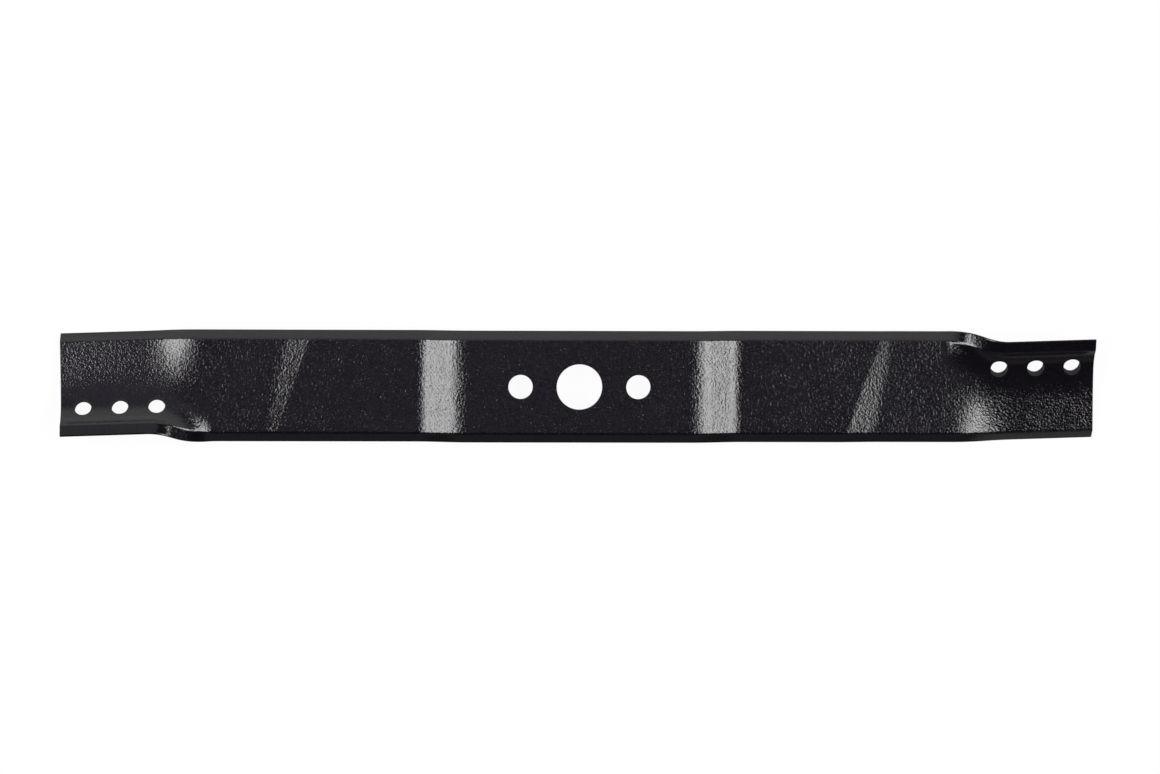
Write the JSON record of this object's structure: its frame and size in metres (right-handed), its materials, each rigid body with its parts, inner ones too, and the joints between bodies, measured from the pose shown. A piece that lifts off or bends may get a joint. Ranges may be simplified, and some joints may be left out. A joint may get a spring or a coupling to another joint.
{
  "type": "rotary mower blade",
  "caption": "Pressed steel mower blade: bevelled bar with a raised hub, creased arms and upturned, perforated sails; seats on its hub, located by a centre bore and turned by side drive holes.",
  "frame": {"origin": "on the axis of the centre bore, at the upper face of the hub", "axes": "+X along the blade, +Y across it, +Z along the bore axis, up towards the mower deck and the raised edges of the sails"},
  "size_m": [0.5098, 0.0554, 0.022],
  "materials": {
    "black_coat": "satin black powder coat with a fine leathery grain"
  },
  "bodies": {
    "root": {"blade": "black_coat"}
  },
  "joints": []
}
